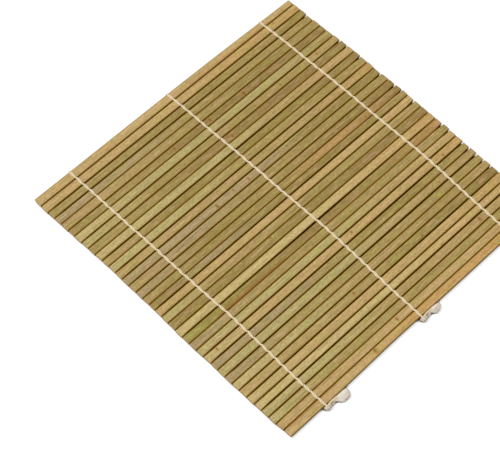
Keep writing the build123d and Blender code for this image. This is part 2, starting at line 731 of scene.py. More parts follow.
class FibreGroup(EffectGroup):
    """Long bamboo fibres, with broad mottling, as values that change over the surface."""

    name = "bamboo_fibre"
    layers = {
        "Fine": NoiseLayer(along=160.0, across=5200.0, detail=2.0, roughness=0.6),
        "Coarse": NoiseLayer(along=36.0, across=1500.0, detail=3.0, roughness=0.55),
        "Mottle": NoiseLayer(along=95.0, across=420.0, detail=3.0, roughness=0.5),
        "Dash": NoiseLayer(along=420.0, across=3800.0, detail=1.0, roughness=0.4),
        "Grain": NoiseLayer(along=640.0, across=1500.0, detail=2.0, roughness=0.6),
    }
    inputs = {"Place": "Vector", "Seed": "Float"}
    outputs = dict.fromkeys(layers, "Float")

    @classmethod
    def effect(cls, graph: Graph, given: bpy.types.bpy_prop_collection) -> dict[str, Socket]:
        """Works out each layer at a place that is shifted by the slat's seed."""
        shifted = graph.vector("ADD", given["Place"], graph.combine(given["Seed"], given["Seed"]))
        values = {}
        for title, layer in cls.layers.items():
            drawn = graph.vector("MULTIPLY", shifted, (layer.along, layer.across, layer.across))
            values[title] = graph.noise(drawn, 1.0, layer.detail, layer.roughness)
        return values


class ScarGroup(EffectGroup):
    """One scar on the bamboo's skin, as a core and a ring with ragged edges.

    The scar's X and Y are its place, and its Z is its size, all in metres.
    """

    name = "bamboo_scar"
    inputs = {"Place": "Vector", "Scar": "Vector"}
    outputs = {"Mask": "Float", "Ring": "Float"}
    along_share: ClassVar[float] = 1.4
    across_share: ClassVar[float] = 0.9
    rag_scale: ClassVar[float] = 1800.0
    rag_detail: ClassVar[float] = 3.0
    rag_middle: ClassVar[float] = 0.5
    rag_depth: ClassVar[float] = 1.1
    core: ClassVar[Span] = Span(1.15, 0.35)
    ring: ClassVar[Span] = Span(2.2, 0.6)

    @classmethod
    def effect(cls, graph: Graph, given: bpy.types.bpy_prop_collection) -> dict[str, Socket]:
        """Works out how deep in the scar a place lies."""
        scar_x, scar_y, size = graph.separate(given["Scar"])
        x, y, _ = graph.separate(given["Place"])
        along = graph.math("MULTIPLY", graph.math("SUBTRACT", x, scar_x), cls.along_share)
        across = graph.math("MULTIPLY", graph.math("SUBTRACT", y, scar_y), cls.across_share)
        reach = graph.math("DIVIDE", graph.length(graph.combine(along, across)), size)
        noise = graph.noise(given["Place"], cls.rag_scale, cls.rag_detail)
        ragged = graph.math("MULTIPLY", graph.math("SUBTRACT", noise, cls.rag_middle), cls.rag_depth)
        uneven = graph.math("ADD", reach, ragged)
        return {"Mask": graph.span(uneven, cls.core), "Ring": graph.span(uneven, cls.ring)}


class CottonGroup(EffectGroup):
    """Cotton fibres: fine fuzz, and the stains of use."""

    name = "cotton_fibre"
    layers = {"Fuzz": (5200.0, 3.0, 0.65), "Stain": (260.0, 2.0, 0.5)}
    inputs = {"Place": "Vector"}
    outputs = dict.fromkeys(layers, "Float")

    @classmethod
    def effect(cls, graph: Graph, given: bpy.types.bpy_prop_collection) -> dict[str, Socket]:
        """Works out each layer from its scale, its detail and its roughness."""
        return {title: graph.noise(given["Place"], *layer) for title, layer in cls.layers.items()}


def new_material(name: str) -> tuple[bpy.types.Material, Graph, bpy.types.Node]:
    """Starts a material.

    Args:
        name: The material's name.

    Returns:
        The material, its graph and its output node.
    """
    material = bpy.data.materials.new(name)
    material.use_nodes = True
    material.node_tree.nodes.clear()
    graph = Graph(material.node_tree)
    return material, graph, graph.add("ShaderNodeOutputMaterial")


def new_surface(name: str) -> tuple[Graph, bpy.types.Node]:
    """Starts a material with a surface shader, and gives its graph and that shader."""
    _, graph, output = new_material(name)
    surface = graph.add("ShaderNodeBsdfPrincipled")
    graph.put(output.inputs["Surface"], surface.outputs["BSDF"])
    return graph, surface


@dataclass(frozen=True)
class BambooFinish:
    """A slat's long faces: green skin on top, sawn sides and pale flesh beneath.

    The depths are in millimetres from the slat's top, and those of the flesh from its underside.
    """

    flesh: Colour = (206, 184, 134)
    # The long edges' colour: partly wear, partly painted shade beside the gaps
    edge: Colour = (153, 115, 10)
    # Painted shade: the walls that face a gap are dark brown, and darker still lower down in it
    side: Colour = (130, 86, 2)
    # The outer walls' sawn colour, partly darkened as painted shade
    outer_side: Colour = (140, 108, 62)
    gap_shade: Colour = (100, 60, 0)
    green: Colour = (174, 172, 78)
    pink: Colour = (208, 168, 128)
    dark_fibre: Colour = (118, 92, 42)
    pale_fibre: Colour = (228, 206, 152)
    scar: Colour = (110, 80, 18)
    ring: Colour = (186, 134, 62)
    rust: Colour = (156, 102, 32)
    skin_depth: Span = Span(-0.48, -0.28)
    # Where the painted shade on a gap wall grows darker, in millimetres from the top
    gap_shade_share: Span = Span(-0.48, -1.2, 0.0, 0.85)
    flesh_depth: Span = Span(0.35, 0.08)
    outer_tone: float = 0.2
    green_share: Span = Span(0.5, 0.74, 0.0, 0.50)
    pink_share: Span = Span(0.48, 0.28, 0.0, 0.46)
    dark_share: Span = Span(0.47, 0.26, 0.0, 0.46)
    pale_share: Span = Span(0.53, 0.74, 0.0, 0.42)
    fine_shade: Span = Span(0.30, 0.70, 0.80, 1.16, eased=False)
    grain_shade: Span = Span(0.30, 0.70, 0.76, 1.22, eased=False)
    dash_share: Span = Span(0.30, 0.20, 0.0, 0.5)
    rub_and_shade_share: Span = Span(0.86, 1.0, 0.0, 0.90)
    rust_share: Span = Span(0.10, 0.90, 0.0, 0.78)
    ring_share: float = 0.42
    scar_share: float = 0.62
    roughness: Span = Span(0.3, 0.7, 0.66, 0.50)
    specular: float = 0.36
    relief_depth: float = 0.08
    relief_strength: float = 0.55

    def material(self, sizes: MatFrame) -> None:
        """Builds the material.

        Args:
            sizes: The mat's sizes, which say where the skin ends.
        """
        graph, surface = new_surface("split_bamboo")
        place = graph.object_place()
        height = graph.separate(place)[2]
        fibre = FibreGroup.use(graph, Place=place, Seed=graph.attribute("seed"))
        skin = graph.span(height, self.skin_depth.above(sizes.top))
        tone = graph.attribute("tone", "Color")
        below = self.sawn_and_shaded_colour(graph, height, tone, sizes)
        colour = graph.mix(skin, below, self.skin_colour(graph, tone, fibre["Mottle"]))
        colour = self.fibre_colour(graph, fibre, skin, colour)
        colour = self.worn_and_shaded_colour(graph, skin, colour)
        for title in SCAR_NAMES:
            mark = ScarGroup.use(graph, Place=place, Scar=graph.attribute(title, "Vector"))
            for output, share, dark in (
                ("Ring", self.ring_share, self.ring),
                ("Mask", self.scar_share, self.scar),
            ):
                seen = graph.math("MULTIPLY", mark[output], graph.math("MULTIPLY", skin, share))
                colour = graph.mix(seen, colour, linear(dark))
        graph.put(surface.inputs["Base Color"], colour)
        graph.put(surface.inputs["Roughness"], graph.span(fibre["Coarse"], self.roughness))
        surface.inputs["Specular IOR Level"].default_value = self.specular
        height_sum = graph.math("ADD", fibre["Fine"], fibre["Coarse"])
        graph.relief(surface, height_sum, self.relief_depth, self.relief_strength)

    def skin_colour(self, graph: Graph, tone: Socket, mottle: Socket) -> Socket:
        """The skin: the slat's own tone, mottled green and pink."""
        green = graph.mix(graph.span(mottle, self.green_share), tone, linear(self.green))
        return graph.mix(graph.span(mottle, self.pink_share), green, linear(self.pink))

    def sawn_and_shaded_colour(self, graph: Graph, height: Socket, tone: Socket, sizes: MatFrame) -> Socket:
        """The sides, with painted shade on the walls that face a gap, darkest low in it, and the pale flesh
        beneath.

        Args:
            graph: The material's graph.
            height: The height of the place.
            tone: The slat's own tone.
            sizes: The mat's sizes.

        Returns:
            The colour.
        """
        # Painted shade on the walls that face a gap, darker towards the bottom of the gap
        gap_shade = graph.span(height, self.gap_shade_share.above(sizes.top))
        inner = graph.mix(gap_shade, linear(self.side), linear(self.gap_shade))
        # The outer walls: their sawn colour, partly darkened as painted shade, mixed with the slat's tone
        outer = graph.mix(self.outer_tone, linear(self.outer_side), tone)
        wall = graph.mix(graph.attribute("inner"), outer, inner)
        flesh = graph.span(height, self.flesh_depth.above(sizes.under))
        return graph.mix(flesh, wall, linear(self.flesh))

    def fibre_colour(
        self, graph: Graph, fibre: bpy.types.bpy_prop_collection, skin: Socket, colour: Socket
    ) -> Socket:
        """Draws the fibres over a colour.

        Args:
            graph: The material's graph.
            fibre: The fibres' values.
            skin: How much skin the place has.
            colour: The colour beneath.

        Returns:
            The colour with its fibres.
        """
        dark = graph.span(fibre["Coarse"], self.dark_share)
        colour = graph.mix(graph.math("MULTIPLY", dark, skin), colour, linear(self.dark_fibre))
        pale = graph.span(fibre["Coarse"], self.pale_share)
        colour = graph.mix(graph.math("MULTIPLY", pale, skin), colour, linear(self.pale_fibre))
        colour = graph.tint(colour, graph.span(fibre["Fine"], self.fine_shade))
        colour = graph.tint(colour, graph.span(fibre["Grain"], self.grain_shade))
        return graph.mix(graph.span(fibre["Dash"], self.dash_share), colour, linear(self.dark_fibre))

    def worn_and_shaded_colour(self, graph: Graph, skin: Socket, colour: Socket) -> Socket:
        """Draws the long edges, darkened partly as wear and partly as painted shade beside the gaps, and
        the rust lines over a colour.
        """
        across = graph.attribute("across")
        # Wear and painted shade: the skin darkens towards both long edges
        rub_and_shade = graph.span(graph.math("ABSOLUTE", across), self.rub_and_shade_share)
        colour = graph.mix(graph.math("MULTIPLY", rub_and_shade, skin), colour, linear(self.edge))
        rusty = graph.span(graph.math("MULTIPLY", across, graph.attribute("rust")), self.rust_share)
        return graph.mix(rusty, colour, linear(self.rust))


@dataclass(frozen=True)
class EndGrainFinish:
    """A slat's cut end: pale flesh dotted with dark fibre bundles, closer together near the skin."""

    flesh: Colour = (222, 180, 122)
    bundle: Colour = (146, 102, 58)
    skin: Colour = (178, 142, 84)
    flesh_height: float = 0.5
    bundle_scale: float = 3400.0
    bundle_growth: float = 0.22
    bundle_width: float = 0.16
    bundle_edge: Span = Span(0.10, -0.04)
    bundle_share: float = 0.72
    tone_share: float = 0.25
    rind: Span = Span(-0.25, -0.05, 0.0, 0.8)
    fuzz_scale: float = 2600.0
    fuzz_detail: float = 4.0
    stain: Span = Span(0.3, 0.75, 0.82, 1.08)
    roughness: float = 0.82
    specular: float = 0.25
    relief_depth: float = 0.08
    relief_strength: float = 0.7

    def material(self, sizes: MatFrame) -> None:
        """Builds the material.

        Args:
            sizes: The mat's sizes, which say where the skin lies.
        """
        graph, surface = new_surface("bamboo_end_grain")
        place = graph.object_place()
        height = graph.separate(place)[2]
        skin_above = sizes.top - sizes.under
        near_skin = graph.span(height, Span(self.flesh_height, skin_above).above(sizes.under))
        cells = graph.add("ShaderNodeTexVoronoi", feature="F1")
        graph.put(cells.inputs["Vector"], graph.vector("MULTIPLY", place, (0.0, 1.0, 1.0)))
        graph.put(cells.inputs["Scale"], self.bundle_scale)
        width = graph.math("MULTIPLY_ADD", near_skin, self.bundle_growth, self.bundle_width)
        dots = graph.span(graph.math("SUBTRACT", cells.outputs["Distance"], width), self.bundle_edge)
        colour = graph.mix(self.tone_share, linear(self.flesh), graph.attribute("tone", "Color"))
        colour = graph.mix(graph.math("MULTIPLY", dots, self.bundle_share), colour, linear(self.bundle))
        colour = graph.mix(graph.span(height, self.rind.above(sizes.top)), colour, linear(self.skin))
        fuzz = graph.noise(place, self.fuzz_scale, self.fuzz_detail)
        graph.put(surface.inputs["Base Color"], graph.tint(colour, graph.span(fuzz, self.stain)))
        surface.inputs["Roughness"].default_value = self.roughness
        surface.inputs["Specular IOR Level"].default_value = self.specular
        height_sum = graph.math("SUBTRACT", fuzz, dots)
        graph.relief(surface, height_sum, self.relief_depth, self.relief_strength)


@dataclass(frozen=True)
class CottonFinish:
    """Cream cotton: pale on the plies' crowns, and greyer in the grooves between them as painted shade."""

    name: str = "cotton_twine"
    crown: Colour = (255, 248, 214)
    groove_shade: Colour = (216, 188, 148)
    stain: Colour = (222, 196, 162)
    fuzz: Span = Span(0.3, 0.7, 0.93, 1.08)
    stretch: tuple[float, float, float] = (1.0, 1.0, 1.0)
    crown_share: Span = Span(-0.2, 0.75)
    stain_share: Span = Span(0.5, 0.8, 0.0, 0.45)
    roughness: float = 0.9
    specular: float = 0.15
    sheen: float = 0.25
    relief_depth: float = 0.06
    relief_strength: float = 0.5

    def material(self) -> None:
        """Builds the material."""
        graph, surface = new_surface(self.name)
        place = graph.vector("MULTIPLY", graph.object_place(), self.stretch)
        cotton = CottonGroup.use(graph, Place=place)
        # Painted shade: the colour greys from the plies' crowns into the grooves between them
        ply = graph.span(graph.attribute("ply"), self.crown_share)
        colour = graph.mix(ply, linear(self.groove_shade), linear(self.crown))
        colour = graph.tint(colour, graph.span(cotton["Fuzz"], self.fuzz))
        dirt = graph.span(cotton["Stain"], self.stain_share)
        graph.put(surface.inputs["Base Color"], graph.mix(dirt, colour, linear(self.stain)))
        surface.inputs["Roughness"].default_value = self.roughness
        surface.inputs["Specular IOR Level"].default_value = self.specular
        surface.inputs["Sheen Weight"].default_value = self.sheen
        graph.relief(surface, cotton["Fuzz"], self.relief_depth, self.relief_strength)


# The cotton of the twine, of the frayed tufts and of the knots, which hands have soiled; the knots' copy is
# greyer all over, as painted shade
COTTONS = (
    CottonFinish(),
    CottonFinish(
        name="cotton_fray",
        crown=(239, 229, 213),
        groove_shade=(219, 207, 191),
        stain=(226, 212, 193),
        fuzz=Span(0.3, 0.7, 0.93, 1.02),
        stretch=(0.08, 0.6, 0.6),
        relief_strength=0.3,
    ),
    CottonFinish(
        name="cotton_knot",
        crown=(236, 221, 200),
        groove_shade=(198, 180, 160),
        stain=(208, 190, 172),
    ),
)


def tube_faces(rings: int, around: int, start: int = 0) -> Faces:
    """The faces of a closed tube, all outwards: its wall from ring to ring, and then its two ends.

    Args:
        rings: How many rings of vertices it has.
        around: The vertices round each ring.
        start: The number of its first vertex.

    Returns:
        The faces' corners.
    """
    faces = []
    for ring in range(rings - 1):
        base = start + ring * around
        for point in range(around):
            after = (point + 1) % around
            faces.append((base + point, base + after, base + after + around, base + point + around))
    end = start + (rings - 1) * around
    faces.append(tuple(start + point for point in reversed(range(around))))
    faces.append(tuple(end + point for point in range(around)))
    return faces


def mesh_object(name: str, places: object, faces: Faces, rounded: bool = True) -> bpy.types.Object:
    """Makes an object of a mesh given in millimetres.

    Args:
        name: The object's name.
        places: The vertices, in millimetres.
        faces: The faces' corners.
        rounded: True for a rounded look.

    Returns:
        The object, linked into the scene.
    """
    mesh = bpy.data.meshes.new(name)
    mesh.from_pydata((np.asarray(places) * MM).tolist(), [], faces)
    mesh.update()
    if rounded:
        mesh.shade_smooth()
    piece = bpy.data.objects.new(name, mesh)
    bpy.context.scene.collection.objects.link(piece)
    return piece


def put_values(mesh: bpy.types.Mesh, name: str, kind: str, values: np.ndarray) -> None:
    """Writes a value for each vertex.

    Args:
        mesh: The mesh.
        name: What the shader knows the value by.
        kind: The kind of value: a number, a vector or a colour.
        values: One value for each vertex.
    """
    attribute = mesh.attributes.new(name, kind, "POINT")
    slot = {"FLOAT": "value", "FLOAT_VECTOR": "vector", "FLOAT_COLOR": "color"}[kind]
    attribute.data.foreach_set(slot, np.asarray(values, np.float32).ravel())


class Level(Enum):
    """What a point of a slat's section takes its height from."""

    TOP = "the crowned skin"
    MIDDLE = "the slat's middle"
    UNDER = "the underside"


@dataclass(frozen=True)
class SectionPoint:
    """A point of a slat's section.

    Its share says how far across the slat it lies, from -1 to 1. Its inset is its distance from the
    slat's side, and its drop is its distance from the top or the underside, both in millimetres.
    """

    level: Level
    share: float
    inset: float = 0.0
    drop: float = 0.0


@dataclass
class Slat:
    """One split bamboo slat, with a crowned skin, sawn sides and cut ends."""

    number: int
    sizes: MatFrame
    gaps: GapSet
    draw: random.Random
    step: float = 2.0
    end_steps: tuple[float, ...] = (0.6, 1.6, 3.4)
    end_length: float = 6.0
    top_round: float = 0.36
    under_round: float = 0.42
    undercut: float = 0.07
    top_turns: tuple[float, ...] = (0.0, 30.0, 60.0, 90.0)
    under_turns: tuple[float, ...] = (0.0, 45.0, 90.0)
    top_shares: tuple[float, ...] = (0.72, 0.45, 0.2, 0.0, -0.2, -0.45, -0.72)
    under_shares: tuple[float, ...] = (-0.5, 0.0, 0.5)
    crown: float = 0.16
    crown_sink: float = 0.6
    bevel: float = 0.12
    bevel_drop: float = 0.8
    left_spread: tuple[float, float] = (-0.09, 0.30)
    right_spread: tuple[float, float] = (-0.35, 0.35)
    cut_lean: float = 0.05
    dip: float = 0.05
    dip_length: float = 37.0
    brightness: tuple[float, float] = (0.95, 1.01)
    seed_spread: float = 3.0
    no_scar: tuple[float, float, float] = (0.0, 1.0, 0.0001)

    def stations(self, low: float, high: float) -> np.ndarray:
        """Places along the slat, closer together at its ends."""
        inner = high - low - 2 * self.end_length
        middle = np.linspace(low + self.end_length, high - self.end_length, int(inner / self.step))
        ends = np.array([0.0, self.bevel, *self.end_steps])
        return np.concatenate([low + ends, middle, high - ends[::-1]])

    def rounding(self, level: Level, side: float, turns: tuple[float, ...]) -> list[SectionPoint]:
        """The points round one long edge.

        Args:
            level: The top or the underside.
            side: 1 on the side towards +Y, and -1 on the other.
            turns: How far each point is turned from the side, in degrees.

        Returns:
            The points.
        """
        radius, inset = self.top_round, 0.0
        if level is Level.UNDER:
            radius, inset = self.under_round, self.undercut
        points = []
        for turn in turns:
            slope = math.radians(turn)
            drawn_in = inset + radius * (1 - math.cos(slope))
            points.append(SectionPoint(level, side, drawn_in, radius * (1 - math.sin(slope))))
        return points

    def section(self) -> list[SectionPoint]:
        """The points round the slat's section, over the top and back along the underside."""
        return [
            *self.rounding(Level.TOP, 1.0, self.top_turns),
            *(SectionPoint(Level.TOP, share) for share in self.top_shares),
            *self.rounding(Level.TOP, -1.0, self.top_turns[::-1]),
            SectionPoint(Level.MIDDLE, -1.0),
            *self.rounding(Level.UNDER, -1.0, self.under_turns),
            *(SectionPoint(Level.UNDER, share) for share in self.under_shares),
            *self.rounding(Level.UNDER, 1.0, self.under_turns[::-1]),
            SectionPoint(Level.MIDDLE, 1.0),
        ]

    def height(self, point: SectionPoint, lift: float, shrink: float) -> float:
        """The height of a point of the section.

        Args:
            point: The point.
            lift: How far the skin rises at this station.
            shrink: How far the bevel of the cut end draws the point in.

        Returns:
            The height in millimetres.
        """
        if point.level is Level.MIDDLE:
            return self.sizes.middle_height
        if point.level is Level.UNDER:
            return self.sizes.under + point.drop + shrink
        crown = self.crown * (1 - point.share * point.share - self.crown_sink)
        return self.sizes.top + crown + lift - point.drop - shrink

    def build(self) -> bpy.types.Object:
        """Builds the slat's mesh, with its tones and marks as attributes."""
        sizes = self.sizes
        low = sizes.left + between(self.number, LEFT_ENDS) + self.draw.uniform(*self.left_spread)
        high = sizes.right + between(self.number, RIGHT_ENDS) + self.draw.uniform(*self.right_spread)
        lean = self.draw.uniform(-self.cut_lean, self.cut_lean)
        dip = self.draw.uniform(-self.dip, self.dip)
        wave = self.draw.uniform(0, math.tau)
        section = self.section()
        x_values = self.stations(low, high)
        rows = []
        for index, x in enumerate(x_values):
            from_end = min(index, len(x_values) - 1 - index)
            lift = dip * math.sin(x / self.dip_length + wave)
            shrink = 0.0 if from_end else self.bevel * self.bevel_drop
            rows.append(self.row(section, x, lift, shrink, lean if from_end <= 1 else 0.0))
        places = np.concatenate(rows)
        faces = tube_faces(len(rows), len(section))
        piece = mesh_object(f"slat_{self.number:02d}_bamboo", places, faces)
        across = np.tile([point.share for point in section], len(rows))
        self.paint(piece.data, places, across, x_values)
        for name in ("split_bamboo", "bamboo_end_grain"):
            piece.data.materials.append(bpy.data.materials[name])
        for polygon in piece.data.polygons[-2:]:
            polygon.material_index = 1
            polygon.use_smooth = False
        return piece

    def row(
        self, section: list[SectionPoint], x: float, lift: float, shrink: float, lean: float
    ) -> np.ndarray:
        """The vertices round the slat at one station.

        Args:
            section: The section's points.
            x: The station.
            lift: How far the skin rises there.
            shrink: How far the bevel of a cut end draws the section in.
            lean: How far the cut leans along the slat for each millimetre across it.

        Returns:
            The vertices, in millimetres.
        """
        lower, upper = self.gaps.slat_edges(self.number, x)
        middle = (lower + upper) / 2
        half = (upper - lower) / 2
        places = []
        for point in section:
            on_side = abs(point.share) == 1
            reach = point.share * (half - point.inset - shrink if on_side else half - self.top_round)
            places.append((x + lean * reach, middle + reach, self.height(point, lift, shrink)))
        return np.array(places)

    def paint(
        self, mesh: bpy.types.Mesh, places: np.ndarray, across: np.ndarray, x_values: np.ndarray
    ) -> None:
        """Writes the slat's tones and marks as attributes.

        Args:
            mesh: The slat's mesh.
            places: Its vertices, in millimetres.
            across: How far across the slat each vertex lies, from -1 to 1.
            x_values: The stations along the slat.
        """
        count = len(places)
        tones = np.array([linear(Tone[name].value) for name in LOOKS[self.number - 1].tones.split()])
        tone_places = np.linspace(self.sizes.left, self.sizes.right, len(tones))
        bright = self.draw.uniform(*self.brightness)
        colours = np.ones((count, tones.shape[1]))
        for channel, warmth in enumerate(WARMTH):
            along = np.interp(x_values, tone_places, tones[:, channel]) * bright * warmth
            colours[:, channel] = np.repeat(along, count // len(x_values))
        rust = np.zeros(count)
        for line in RUST_LINES:
            if line.slat == self.number:
                rust += line.at(places[:, 0])
        put_values(mesh, "tone", "FLOAT_COLOR", colours)
        put_values(mesh, "across", "FLOAT", across)
        put_values(mesh, "seed", "FLOAT", np.full(count, self.draw.uniform(0.0, self.seed_spread)))
        put_values(mesh, "rust", "FLOAT", rust)
        inner = np.where(across > 0, self.number > 1, self.number < self.sizes.count)
        put_values(mesh, "inner", "FLOAT", inner)
        middle = float(np.mean(places[:, 1]))
        scars = [
            (scar.along * MM, (middle + scar.across) * MM, scar.size * MM)
            for scar in SCARS
            if scar.slat == self.number
        ]
        scars += [self.no_scar] * (len(SCAR_NAMES) - len(scars))
        for name, scar in zip(SCAR_NAMES, scars):
            put_values(mesh, name, "FLOAT_VECTOR", np.tile(scar, (count, 1)))


def headings(points: np.ndarray) -> np.ndarray:
    """Which way a route heads at each of its points, as unit vectors."""
    heading = np.gradient(points, axis=0)
    return heading / np.linalg.norm(heading, axis=1)[:, None]


@dataclass
class YarnPath:
    """A yarn's route in millimetres, with the frame and the size of its section at each point."""

    points: np.ndarray
    wide: np.ndarray
    high: np.ndarray
    half_width: np.ndarray
    half_height: np.ndarray

    # A route that starts closer to upright than this is framed from Y, and any other from Z
    upright_limit: ClassVar[float] = 0.1

    @classmethod
    def round(cls, points: np.ndarray, radius: Values) -> YarnPath:
        """A yarn with a round section, whose frame turns as little as it can."""
        heading = headings(points)
        start = np.cross(heading[0], (0.0, 0.0, 1.0))
        if np.linalg.norm(start) < cls.upright_limit:
            start = np.cross(heading[0], (0.0, 1.0, 0.0))
        wide = [start / np.linalg.norm(start)]
        for ahead in heading[1:]:
            held = wide[-1] - ahead * np.dot(wide[-1], ahead)
            wide.append(held / np.linalg.norm(held))
        radii = np.full(len(points), radius)
        return cls(points, np.array(wide), np.cross(heading, wide), radii, radii)


@dataclass
class YarnMesh:
    """Collects yarns into one mesh, each with the ridges of its twisted plies."""

    plies: int = 3
    around: int = 15
    ridge: float = 0.08
    lay: float = 3.4
    places: list[np.ndarray] = field(default_factory=list)
    faces: Faces = field(default_factory=list)
    ply: list[np.ndarray] = field(default_factory=list)
    size: int = 0

    def add(self, path: YarnPath, phase: float = 0.0) -> float:
        """Adds one yarn.

        Args:
            path: Its route and section.
            phase: The turn of its plies at its start.

        Returns:
            The turn of its plies at its end.
        """
        turns = np.linspace(0, math.tau, self.around, endpoint=False)
        steps = np.linalg.norm(np.diff(path.points, axis=0), axis=1)
        travelled = np.concatenate([[0.0], np.cumsum(steps)])
        twist = phase + travelled * math.tau / self.lay
        ply = np.cos(self.plies * (turns[None, :] - twist[:, None]))
        swell = 1 - self.ridge + self.ridge * np.sqrt(np.abs((ply + 1) / 2)) * 2
        across = path.half_width[:, None] * swell * np.cos(turns)
        upwards = path.half_height[:, None] * swell * np.sin(turns)
        ring = (
            path.points[:, None, :]
            + path.wide[:, None, :] * across[:, :, None]
            + path.high[:, None, :] * upwards[:, :, None]
        )
        rings = len(path.points)
        self.faces += tube_faces(rings, self.around, self.size)
        self.places.append(ring.reshape(-1, 3))
        self.ply.append(ply.ravel())
        self.size += rings * self.around
        return float(twist[-1])

    def build(self, name: str, material: str) -> bpy.types.Object:
        """Makes the object."""
        piece = mesh_object(name, np.concatenate(self.places), self.faces)
        put_values(piece.data, "ply", "FLOAT", np.concatenate(self.ply))
        piece.data.materials.append(bpy.data.materials[material])
        return piece


